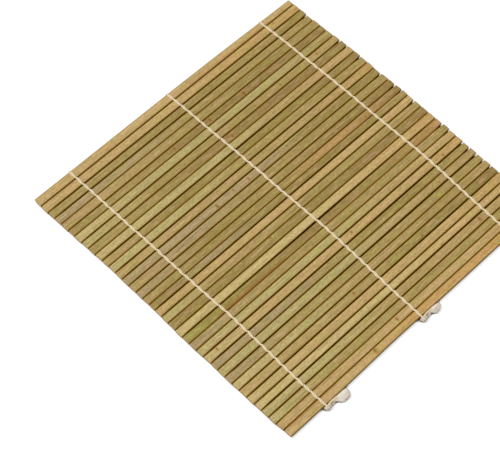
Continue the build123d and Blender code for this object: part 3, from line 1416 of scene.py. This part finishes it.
@dataclass
class Twine:
    """The three lines of cotton twine, cut into pieces at the middle of each slat.

    Two strands pass over and under the slats by turns and swap sides in each gap. A line's drift is how
    far it lies off its straight course at the first slat, the middle one and the last one, and its sway
    is what all three lines share.
    """

    sizes: MatFrame
    gaps: GapSet
    drift: tuple[tuple[float, float, float], ...] = ((-0.2, 1.6, 0.9), (0.3, 2.8, 0.2), (-0.2, 1.9, -1.9))
    sway: tuple[float, ...] = (0.3, 0.3, -0.2, -0.1, -0.1, -0.3, 0.0, 0.6, 0.3, -0.2, -0.2, 0.0)
    wander: float = 0.12
    side_step: float = 0.20
    over_half_width: float = 1.02
    over_neck_width: float = 0.64
    over_half_height: float = 0.43
    over_sink: float = 0.02
    over_rise: tuple[float, float] = (0.7, 1.4)
    under_half_width: float = 0.66
    under_half_height: float = 0.265
    under_rise: tuple[float, float] = (0.8, 1.4)
    pinch_half_width: float = 0.30
    pinch_half_height: float = 0.24
    neck_start: float = 0.7
    bend: float = 0.75
    bend_points: int = 6
    step: float = 0.26
    fewest_points: int = 4
    fold_points: int = 10
    last_points: int = 8
    last_step: float = 0.25
    last_bend: float = 0.5
    last_turn: tuple[float, float] = (0.25, 0.1)
    knot_entry: tuple[float, float] = (0.2, 0.35)
    blend_reach: float = 1.0

    def __post_init__(self) -> None:
        """Draws how each line wanders from slat to slat."""
        draw = random.Random(TWINE_SEED)
        self.crossings: list[list[float]] = []
        for line, drift in zip(self.sizes.lines, self.drift):
            row = []
            for gap in range(self.sizes.count + 1):
                off = self.off_course(gap / self.sizes.count, drift)
                row.append(line + off + draw.uniform(-self.wander, self.wander))
            self.crossings.append(row)
        self.phases = [[draw.uniform(0, math.tau) for _ in range(2)] for _ in self.sizes.lines]
        self.end_phases: list[tuple[float, float]] = []

    def off_course(self, share: float, drift: tuple[float, float, float]) -> float:
        """How far a line lies off its straight course at a share of the mat's depth."""
        first, middle, last = drift
        curve = first * (1 - share) * (1 - 2 * share) + middle * 4 * share * (1 - share)
        curve += last * share * (2 * share - 1)
        return curve + float(np.interp(share, np.linspace(0, 1, len(self.sway)), self.sway))

    def height(self, level: int) -> float:
        """The height of a strand's middle, over a slat at level 1 and under it at level -1."""
        half_height = self.over_half_height - self.over_sink if level > 0 else self.under_half_height
        return self.sizes.middle_height + level * (self.sizes.thickness / 2 + half_height)

    def slat_middle(self, line: int, slat: int) -> tuple[float, float]:
        """Where a line crosses the middle of a slat."""
        row = self.crossings[line]
        x = (row[slat - 1] + row[slat]) / 2
        lower, upper = self.gaps.slat_edges(slat, x)
        return x, float(lower + upper) / 2

    def gap_middle(self, gap: int, x: float) -> float:
        """The middle of a gap at a place along the slats."""
        return float(self.gaps.curves[gap].centre(x))

    def line_middle(self, line: int, gap: int) -> float:
        """The middle of a gap where a line passes it."""
        return self.gap_middle(gap, self.crossings[line][gap])

    def level_run(self, x: np.ndarray, y: np.ndarray, level: int) -> np.ndarray:
        """A stretch of strand that lies on the slats' faces."""
        return np.stack([x, y, np.full(len(x), self.height(level))], axis=1)

    def face_run(self, line: int, slat: int, gap: int, level: int) -> np.ndarray:
        """Half a run on a slat's face, from the slat's middle to the gap beside it.

        Args:
            line: Which of the three lines.
            slat: The slat that the run lies on.
            gap: The gap that it goes to.
            level: 1 over the slat, and -1 under it.

        Returns:
            The points of the run.
        """
        x0, y0 = self.slat_middle(line, slat)
        onward = gap == slat
        x1 = self.crossings[line][gap] + (-level if onward else level) * self.side_step
        y1 = self.gap_middle(gap, x1) + (self.bend if onward else -self.bend)
        shares = np.linspace(0, 1, max(self.fewest_points, round(abs(y1 - y0) / self.step)))
        x = x0 + (x1 - x0) * np.sin(shares * math.pi / 2)
        return self.level_run(x, y0 + (y1 - y0) * shares, level)

    def corner(self, x: float, y: float, level: int, way: int) -> np.ndarray:
        """A quarter bend round a slat's edge, from its face into the gap.

        Args:
            x: Its place along the slats.
            y: The middle of the gap.
            level: 1 from the upper face, and -1 from the underside.
            way: 1 if the slat lies on the +Y side of the gap, and -1 if on the other.

        Returns:
            The points of the bend.
        """
        turns = np.linspace(0, math.pi / 2, self.bend_points)
        y_values = y + way * self.bend * (1 - np.sin(turns))
        z_values = self.height(level) - level * self.bend * (1 - np.cos(turns))
        return np.stack([np.full(len(turns), x), y_values, z_values], axis=1)

    def strand_path(self, points: np.ndarray, gap_y: float) -> YarnPath:
        """Gives a strand its section: plump on a slat, drawn in beside a gap and pinched in it.

        Args:
            points: The strand's route.
            gap_y: The middle of the gap that it passes.

        Returns:
            The strand's route with its section at each point.
        """
        heading = headings(points)
        steady = np.array([1.0, 0.0, 0.0])
        wide = steady - heading * (heading @ steady)[:, None]
        wide /= np.linalg.norm(wide, axis=1)[:, None]
        rise = points[:, 2] - self.sizes.middle_height
        over = ramp(rise, *self.over_rise)
        under = ramp(-rise, *self.under_rise)
        neck = self.bend * self.neck_start
        onto_face = (np.abs(points[:, 1] - gap_y) - neck) / (self.sizes.pitch / 2 - self.bend)
        spread = (self.over_half_width - self.over_neck_width) * smooth(onto_face)
        face_width = self.over_neck_width + spread
        half_width = (
            self.pinch_half_width
            + over * (face_width - self.pinch_half_width)
            + under * (self.under_half_width - self.pinch_half_width)
        )
        half_height = (
            self.pinch_half_height
            + over * (self.over_half_height - self.pinch_half_height)
            + under * (self.under_half_height - self.pinch_half_height)
        )
        return YarnPath(points, wide, np.cross(heading, wide), half_width, half_height)

    def crossing(self, line: int, gap: int, level: int) -> YarnPath:
        """One strand from the middle of a slat, through the gap after it, to the middle of the next slat.

        Args:
            line: Which of the three lines.
            gap: The gap.
            level: 1 for the strand that goes down through the gap, and -1 for the one that comes up.

        Returns:
            The strand's route with its section at each point.
        """
        before = self.face_run(line, gap, gap, level)
        after = self.face_run(line, gap + 1, gap, -level)[::-1]
        x = self.crossings[line][gap] - level * self.side_step
        y = self.gap_middle(gap, x)
        into = self.corner(x, y, level, 1)
        out = self.corner(x, y, -level, -1)[::-1]
        points = np.concatenate([before[:-1], into, out, after[1:]])
        return self.strand_path(points, self.line_middle(line, gap))

    def fold(self, line: int) -> YarnPath:
        """The string's fold round the first slat's outer edge, from the slat's underside to its top."""
        x0, y0 = self.slat_middle(line, 1)
        x1 = self.crossings[line][0]
        y1 = self.line_middle(line, 0)
        shares = np.linspace(0, 1, self.fold_points)
        x = x0 + (x1 - x0) * smooth(shares)
        y = y0 + (y1 - self.bend - y0) * shares
        halves = []
        for level in (1, -1):
            run = self.level_run(x, y, level)
            halves.append(np.concatenate([run[:-1], self.corner(x1, y1, level, -1)]))
        above, beneath = halves
        return self.strand_path(np.concatenate([beneath, above[::-1]]), y1)

    def last_run(self, line: int, level: int, knot: Vector) -> YarnPath:
        """One strand from the last slat's middle, round its edge and into the knot.

        Args:
            line: Which of the three lines.
            level: 1 for the strand over the slat, and -1 for the one under it.
            knot: The knot's middle.

        Returns:
            The strand's route with its section at each point.
        """
        count = self.sizes.count
        x0, y0 = self.slat_middle(line, count)
        edge = self.gap_middle(count, x0)
        shares = np.linspace(0, 1, self.last_points)
        x = x0 + (knot.x - level * self.last_step - x0) * shares
        run = self.level_run(x, y0 + (edge + self.last_bend - y0) * shares, level)
        beyond, drop = self.last_turn
        forward, rise = self.knot_entry
        start = run[-1]
        bend = np.array([start[0], edge - beyond, start[2] - level * drop])
        target = np.array([knot.x, knot.y + forward, knot.z + level * rise])
        share = shares[1:, None]
        curve = start * (1 - share) ** 2 + bend * 2 * share * (1 - share) + target * share**2
        return self.strand_path(np.concatenate([run, curve]), self.line_middle(line, count))

    def build(self) -> list[tuple[bpy.types.Object, int]]:
        """Builds the pieces.

        Returns:
            Each piece with the gap that it crosses, which is 0 for the fold round the first slat.
        """
        lines = range(len(self.sizes.lines))
        under = [pair[1] for pair in self.phases]
        folds = YarnMesh()
        over = [folds.add(self.fold(line), under[line]) for line in lines]
        pieces = [(folds.build("twine_fold", "cotton_twine"), 0)]
        for gap in range(1, self.sizes.count):
            strands = YarnMesh()
            for line in lines:
                sinking = strands.add(self.crossing(line, gap, 1), over[line])
                rising = strands.add(self.crossing(line, gap, -1), under[line])
                over[line], under[line] = rising, sinking
            pieces.append((strands.build(f"twine_gap_{gap:02d}", "cotton_twine"), gap))
        self.end_phases = list(zip(over, under))
        return pieces


@dataclass(frozen=True)
class Tuft:
    """One line's frayed tuft: its width, how far along X it ends, and where its rim rounds in."""

    name: str
    width: float
    end: float
    rim_start: float


# The tufts as they were left, which differ in size
TUFTS = (
    Tuft("left", 6.5, 19.6, 0.70),
    Tuft("middle", 5.1, 16.8, 0.42),
    Tuft("right", 5.8, 18.0, 0.58),
)


@dataclass(frozen=True)
class Ripple:
    """Waves round a tuft's body, which comb it into clumps and slant as they run along it."""

    waves: int
    height: float
    slant: float = 0.0

    def at(self, turn: float, share: float, phase: float) -> float:
        """The ripple's height at a turn round the tuft and a share of its length."""
        return self.height * math.sin(self.waves * turn + phase + self.slant * share)


@dataclass
class Knot:
    """The knot that ends one line: a few turns of yarn, a short twisted tail and a frayed tuft.

    The coil is the turns, and the core is what they are wound round. Two yarns make the tail, a bright
    cord lies along it, and the tuft has a soft body with loose fibres on it. A pull says how many times
    sooner than at its end a yarn reaches its place, and a gap is a distance from the last slat.
    """

    line: int
    tuft: Tuft
    sizes: MatFrame
    twine: Twine
    draw: random.Random
    lift: float = 0.15
    yarn: float = 0.74
    coil_ridge: float = 0.07
    coil_turns: float = 2.6
    coil_pitch: float = 1.45
    coil_radius: float = 1.20
    coil_taper: float = 0.42
    coil_lean: float = 0.35
    coil_points: int = 110
    core_past: float = 0.25
    core_tip: float = 0.4
    core_fill: float = 0.1
    core_points: int = 24
    tail_yarn: float = 0.76
    tail_turn: float = 0.40
    tail_turns: float = 0.75
    tail_past: float = 0.4
    tail_pull: float = 2.0
    tail_points: int = 48
    lobe_gap: float = 2.12
    lobe_shift: float = 0.5
    tail_gap: float = 1.95
    tail_height: float = 1.25
    cord: float = 0.68
    cord_start: float = -1.2
    cord_past: float = 2.2
    cord_gap: float = 1.0
    cord_drop: float = 0.7
    cord_pull: float = 1.8
    cord_height: float = 3.0
    cord_fall: float = 0.15
    cord_rise: float = 0.9
    cord_rise_pull: float = 6.0
    cord_points: int = 40
    tuft_start: float = 6.2
    tuft_gap: float = 0.15
    tuft_height: float = 1.85
    tuft_sag: float = 0.45
    side_fullness: float = 0.5
    body_share: float = 0.5
    tip_share: float = 0.20
    neck: float = 2.3
    neck_length: float = 0.36
    thickness: float = 2.9
    thickness_length: float = 0.45
    rim_thickness: float = 0.25
    fibres: int = 130
    fibre_around: int = 4
    fibre_points: int = 10
    fibre_side: float = 0.98
    fibre_starts: tuple[float, float] = (0.02, 0.45)
    fibre_ends: tuple[float, float] = (-0.04, 0.02)
    fibre_depths: tuple[float, float] = (0.9, 1.0)
    fibre_drift: float = 0.02
    fibre_radii: tuple[float, float] = (0.09, 0.045)
    fibre_gap: float = 0.12
    floor_gap: float = 0.1
    combs: tuple[Ripple, ...] = (Ripple(9, 0.03), Ripple(16, 0.02, 2.0))
    comb_growth: float = 2.0
    lump: Ripple = Ripple(2, 0.03, 5.0)
    rings: int = 40
    around: int = 44
    fluff_ply: float = 0.6

    def __post_init__(self) -> None:
        """Finds the knot's place beyond the last slat, where its line ends."""
        x = self.twine.crossings[self.line][-1]
        height = self.sizes.middle_height + self.lift
        self.centre = Vector((x + self.lobe_shift, self.sizes.last_edge - self.lobe_gap, height))
        self.edge = float(self.twine.gaps.slat_edges(self.sizes.count, x + self.tuft_start)[0])
        self.tuft_x = self.centre.x + self.tuft_start
        self.tuft_length = self.sizes.lines[self.line] + self.tuft.end - self.tuft_x

    def coil(self) -> YarnPath:
        """The turns that are wound round the two strands, fullest in the middle."""
        turns = np.linspace(-0.5, 0.5, self.coil_points)
        angle = turns * self.coil_turns * math.tau + math.pi / 2
        radius = self.coil_radius - self.coil_taper * (2 * turns) ** 2
        x = turns * self.coil_turns * self.coil_pitch + self.coil_lean * np.sin(angle)
        points = np.stack([x, radius * np.cos(angle), radius * np.sin(angle)], axis=1)
        return YarnPath.round(points + np.array(self.centre), self.yarn)

    def core(self) -> YarnPath:
        """The strands inside the turns, as one thick yarn along the knot."""
        half = self.coil_turns * self.coil_pitch / 2 + self.core_past
        x = np.linspace(-half, half, self.core_points)
        points = np.stack([x, 0 * x, 0 * x], axis=1) + np.array(self.centre)
        fullness = np.sqrt(np.clip(1 - (x / half) ** 2, 0, 1))
        return YarnPath.round(points, self.core_tip + (self.coil_radius + self.core_fill) * fullness)

    def tail(self, side: int) -> YarnPath:
        """One of the two yarns that leave the knot along the last slat, twisted round the other."""
        shares = np.linspace(0, 1, self.tail_points)
        start = self.centre
        beside = self.sizes.last_edge - self.tail_gap
        y = start.y + (beside - start.y) * smooth(shares * self.tail_pull)
        z = start.z + (self.tail_height - start.z) * np.sin(shares * math.pi)
        turn = shares * math.tau * self.tail_turns + side * math.pi
        x = start.x + (self.tuft_start + self.tail_past) * shares
        twisted = [x, y + self.tail_turn * np.cos(turn), z + self.tail_turn * np.sin(turn)]
        return YarnPath.round(np.stack(twisted, axis=1), self.tail_yarn)

    def bright_cord(self) -> YarnPath:
        """The string's end, which runs on from the knot along the last slat and into the tuft."""
        shares = np.linspace(0, 1, self.cord_points)
        length = self.tuft_start + self.cord_past - self.cord_start
        x = self.centre.x + self.cord_start + length * shares
        y = self.edge - self.cord_gap - self.cord_drop * (1 - smooth(shares * self.cord_pull))
        fall = self.cord_fall * smooth(shares)
        rise = self.cord_rise * (1 - smooth(shares * self.cord_rise_pull))
        return YarnPath.round(np.stack([x, y, self.cord_height - fall - rise], axis=1), self.cord)

    def build_ends(self) -> bpy.types.Object:
        """Builds the two strands that come round the last slat into the knot, and the string's end."""
        yarns = YarnMesh()
        for level, phase in zip((1, -1), self.twine.end_phases[self.line]):
            yarns.add(self.twine.last_run(self.line, level, self.centre), phase)
        yarns.add(self.bright_cord())
        return yarns.build(f"knot_{self.tuft.name}_ends", "cotton_twine")

    def build_lobe(self) -> bpy.types.Object:
        """Builds the knot itself and the tail."""
        # The knot and its tail take the greyer cotton, a painted shade
        yarns = YarnMesh(ridge=self.coil_ridge)
        for path in (self.coil(), self.core(), self.tail(0), self.tail(1)):
            yarns.add(path)
        return yarns.build(f"knot_{self.tuft.name}_tied", "cotton_knot")

    def flare(self, share: float) -> float:
        """The tuft's width at a share of its length, without its rounded rim."""
        return self.neck + (self.tuft.width - self.neck) * float(smooth(share / self.neck_length))

    def closing(self, share: float) -> float:
        """How far the rounded rim has drawn in at a share of the tuft's length, from 1 to 0."""
        over = max(0.0, (share - self.tuft.rim_start) / (1 - self.tuft.rim_start))
        return math.sqrt(max(0.0, 1 - over * over))

    def depth(self, share: float) -> float:
        """Half the tuft's thickness at a share of its length."""
        grown = float(smooth(share / self.thickness_length))
        full = self.neck + (self.thickness - self.neck) * grown
        return full / 2 * (self.rim_thickness + (1 - self.rim_thickness) * self.closing(share))

    def rise(self, share: float) -> float:
        """The height of the tuft's middle at a share of its length."""
        return self.tuft_height - self.tuft_sag * float(smooth(share))

    def spread_y(self, share: float) -> float:
        """The middle of the tuft's width at a share of its length."""
        closing = self.closing(share)
        drop = self.body_share * closing + self.tip_share * (1 - closing)
        return self.edge - self.tuft_gap - self.flare(share) * drop

    def tuft_place(self, share: float, y: float, z: float, gap: float) -> tuple[float, float, float]:
        """A place on the tuft, kept off the last slat and above the ground.

        Args:
            share: The share of the tuft's length.
            y: Its place across the mat.
            z: Its height.
            gap: How far it stays off the last slat.

        Returns:
            The place in millimetres.
        """
        return self.tuft_x + self.tuft_length * share, min(y, self.edge - gap), max(z, self.floor_gap)

    def fibre(self) -> np.ndarray:
        """One loose fibre that lies on the tuft and stands out from its rim."""
        side = self.draw.uniform(-self.fibre_side, self.fibre_side)
        roundness = math.sqrt(1 - side * side)
        rim = self.tuft.rim_start + (1 - self.tuft.rim_start) * roundness
        first = self.draw.uniform(*self.fibre_starts)
        last = rim + self.draw.uniform(*self.fibre_ends)
        face = self.draw.choice((-1, 1)) * self.draw.uniform(*self.fibre_depths) * roundness
        drift = self.draw.gauss(0, self.fibre_drift)
        points = []
        for share in np.linspace(first, last, self.fibre_points):
            held = min(share, rim)
            half = self.flare(share) / 2 * self.closing(held)
            y = self.spread_y(share) - (side + drift * (share - first)) * half
            z = self.rise(held) + face * self.depth(held)
            points.append(self.tuft_place(share, y, z, self.fibre_gap))
        return np.array(points)

    def build_tuft(self) -> bpy.types.Object:
        """Builds the tuft's loose fibres."""
        yarns = YarnMesh(plies=1, around=self.fibre_around, ridge=0.0)
        radii = np.linspace(*self.fibre_radii, self.fibre_points)
        for _ in range(self.fibres):
            yarns.add(YarnPath.round(self.fibre(), radii))
        return yarns.build(f"knot_{self.tuft.name}_tuft", "cotton_fray")

    def build_fluff(self) -> bpy.types.Object:
        """Builds the tuft's soft body, combed into clumps that run out to its rounded rim."""
        *comb_phases, lump_phase = (self.draw.uniform(0, math.tau) for _ in range(len(self.combs) + 1))
        places = []
        for ring in range(self.rings):
            share = math.sin(math.pi / 2 * ring / self.rings)
            half = self.flare(share) / 2 * self.closing(share)
            grown = float(smooth(share * self.comb_growth))
            for point in range(self.around):
                turn = math.tau * point / self.around
                comb = sum(comb.at(turn, share, phase) for comb, phase in zip(self.combs, comb_phases))
                swell = 1 + comb * grown + self.lump.at(turn, share, lump_phase)
                level = math.sin(turn)
                if math.cos(turn) > 0:
                    level = math.copysign(abs(level) ** self.side_fullness, level)
                y = self.spread_y(share) + half * math.cos(turn) * swell
                z = self.rise(share) + self.depth(share) * level * swell
                places.append(self.tuft_place(share, y, z, self.tuft_gap))
        faces = tube_faces(self.rings, self.around)
        piece = mesh_object(f"knot_{self.tuft.name}_fluff", places, faces)
        put_values(piece.data, "ply", "FLOAT", np.full(len(places), self.fluff_ply))
        piece.data.materials.append(bpy.data.materials["cotton_fray"])
        return piece


@dataclass
class Mat:
    """The whole mat: slats, twine and knots."""

    sizes: MatFrame
    gaps: GapSet

    def build(self) -> None:
        """Builds every piece, and ties the slats, the fold and the knots to the bodies that they move with.
        """
        self.build_slats()
        twine = Twine(self.sizes, self.gaps)
        self.build_twine(twine)
        self.build_knots(twine)

    def build_slats(self) -> None:
        """Builds the slats."""
        for number in range(1, self.sizes.count + 1):
            slat = Slat(number, self.sizes, self.gaps, random.Random(SLAT_SEEDS + number))
            piece = slat.build()
            node = f"slat_{number:02d}"
            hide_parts(node)
            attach(piece, node)
            LOG.info("%s: %d faces", piece.name, len(piece.data.polygons))

    def build_twine(self, twine: Twine) -> None:
        """Builds the three lines of twine, and ties the fold round the first slat to that slat."""
        nodes = [f"twine_{side}" for side in SIDES]
        for piece, gap in twine.build():
            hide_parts(*nodes)
            if gap:
                middles = [twine.line_middle(line, gap) for line in range(len(SIDES))]
                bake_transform(piece)
            else:
                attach(piece, "slat_01")
            LOG.info("%s: %d faces", piece.name, len(piece.data.polygons))

    def build_knots(self, twine: Twine) -> None:
        """Builds the three knots."""
        last = f"slat_{self.sizes.count:02d}"
        for line, tuft in enumerate(TUFTS):
            knot = Knot(line, tuft, self.sizes, twine, random.Random(KNOT_SEEDS + line))
            for piece in (knot.build_ends(), knot.build_lobe(), knot.build_tuft(), knot.build_fluff()):
                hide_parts(f"knot_{tuft.name}")
                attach(piece, last)
                LOG.info("%s: %d faces", piece.name, len(piece.data.polygons))


@dataclass(frozen=True)
class Studio:
    """A white floor, soft light and the camera."""

    azimuth: float = 43.56
    elevation: float = 60.35
    roll: float = 2.02
    distance: float = 1181.9
    target: tuple[float, float] = (-31.4, 5.7)
    focal: float = 128.05
    sensor: float = 36.0
    nearest: float = 10.0
    key_strength: float = 1.75
    key_angle: float = 22.0
    key_heading: tuple[float, float, float] = (0.55, -0.42, -1.0)
    fill: float = 0.5
    white: tuple[float, float, float, float] = (1.0, 1.0, 1.0, 1.0)
    paper: Colour = (188, 188, 188)
    # The floor's painted shade, under the mat and in its gaps
    shade: Colour = (58, 26, 10)
    floor_half: float = 3000.0
    floor_depth: float = 0.1
    shadow_reach: float = 4.0
    shadow_samples: int = 16
    shadow: Span = Span(0.38, 0.52)
    glow: float = 0.60

    def build(self, sizes: MatFrame) -> None:
        """Builds the floor, the light and the camera."""
        self.floor()
        self.light()
        self.camera(sizes)

    def floor(self) -> None:
        """A white floor that keeps the mat's shadow and glows a little where nothing stands near; where the
        mat stands close over it, it is painted a dark brown shade instead.
        """
        half = self.floor_half
        edges = ((-half, -half), (half, -half), (half, half), (-half, half))
        places = [(x, y, -self.floor_depth) for x, y in edges]
        floor = mesh_object("floor", places, [(0, 1, 2, 3)], rounded=False)
        material, graph, output = new_material("white_floor")
        paper = graph.add("ShaderNodeBsdfDiffuse")
        glow = graph.add("ShaderNodeEmission")
        glow.inputs["Color"].default_value = self.white
        sky = graph.add("ShaderNodeAmbientOcclusion", samples=self.shadow_samples)
        sky.inputs["Distance"].default_value = self.shadow_reach * MM
        # Painted shade: where the mat stands close over the floor, it turns dark brown and does not glow
        clear = graph.span(sky.outputs["AO"], self.shadow)
        graph.put(glow.inputs["Strength"], graph.math("MULTIPLY", clear, self.glow))
        graph.put(paper.inputs["Color"], graph.mix(clear, linear(self.shade), linear(self.paper)))
        both = graph.add("ShaderNodeAddShader")
        graph.put_all(both.inputs, (paper.outputs[0], glow.outputs[0]))
        seen = graph.add("ShaderNodeMixShader")
        by_camera = graph.add("ShaderNodeLightPath").outputs["Is Camera Ray"]
        graph.put_all(seen.inputs, (by_camera, paper.outputs[0], both.outputs[0]))
        graph.put(output.inputs["Surface"], seen.outputs[0])
        floor.data.materials.append(material)

    def light(self) -> None:
        """A broad soft key from the picture's left, and an even fill from all round."""
        scene = bpy.context.scene
        scene.view_settings.view_transform = "Standard"
        world = bpy.data.worlds.new("soft_room")
        scene.world = world
        world.use_nodes = True
        background = world.node_tree.nodes["Background"]
        background.inputs["Color"].default_value = self.white
        background.inputs["Strength"].default_value = self.fill
        lamp = bpy.data.lights.new("key", "SUN")
        lamp.energy = self.key_strength
        lamp.angle = math.radians(self.key_angle)
        key = bpy.data.objects.new("key", lamp)
        scene.collection.objects.link(key)
        key.rotation_euler = Vector(self.key_heading).to_track_quat("-Z", "Y").to_euler()

    def camera(self, sizes: MatFrame) -> None:
        """The camera at the photograph's angle."""
        turn, rise, roll = (math.radians(value) for value in (self.azimuth, self.elevation, self.roll))
        view = Vector((math.cos(turn) * math.cos(rise), math.sin(turn) * math.cos(rise), -math.sin(rise)))
        level = Vector((math.sin(turn), -math.cos(turn), 0.0))
        upright = level.cross(view)
        across = level * math.cos(roll) + upright * math.sin(roll)
        up = upright * math.cos(roll) - level * math.sin(roll)
        target = Vector((*self.target, sizes.top)) * MM
        place = target - view * self.distance * MM
        data = bpy.data.cameras.new("camera")
        data.lens = self.focal
        data.sensor_width = self.sensor
        data.clip_start = self.nearest * MM
        camera = bpy.data.objects.new("camera", data)
        bpy.context.scene.collection.objects.link(camera)
        turned = Matrix((across, up, -view)).transposed().to_4x4()
        camera.matrix_world = Matrix.Translation(place) @ turned
        bpy.context.scene.camera = camera


def main() -> None:
    """Builds the finishes, the mat and the studio in order."""
    logging.basicConfig(level=logging.INFO, format="%(name)s %(message)s")
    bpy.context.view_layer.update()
    sizes = MatFrame.read()
    BambooFinish().material(sizes)
    EndGrainFinish().material(sizes)
    for cotton in COTTONS:
        cotton.material()
    Mat(sizes, GapSet(sizes)).build()
    Studio().build(sizes)


if __name__ == "__main__":
    main()
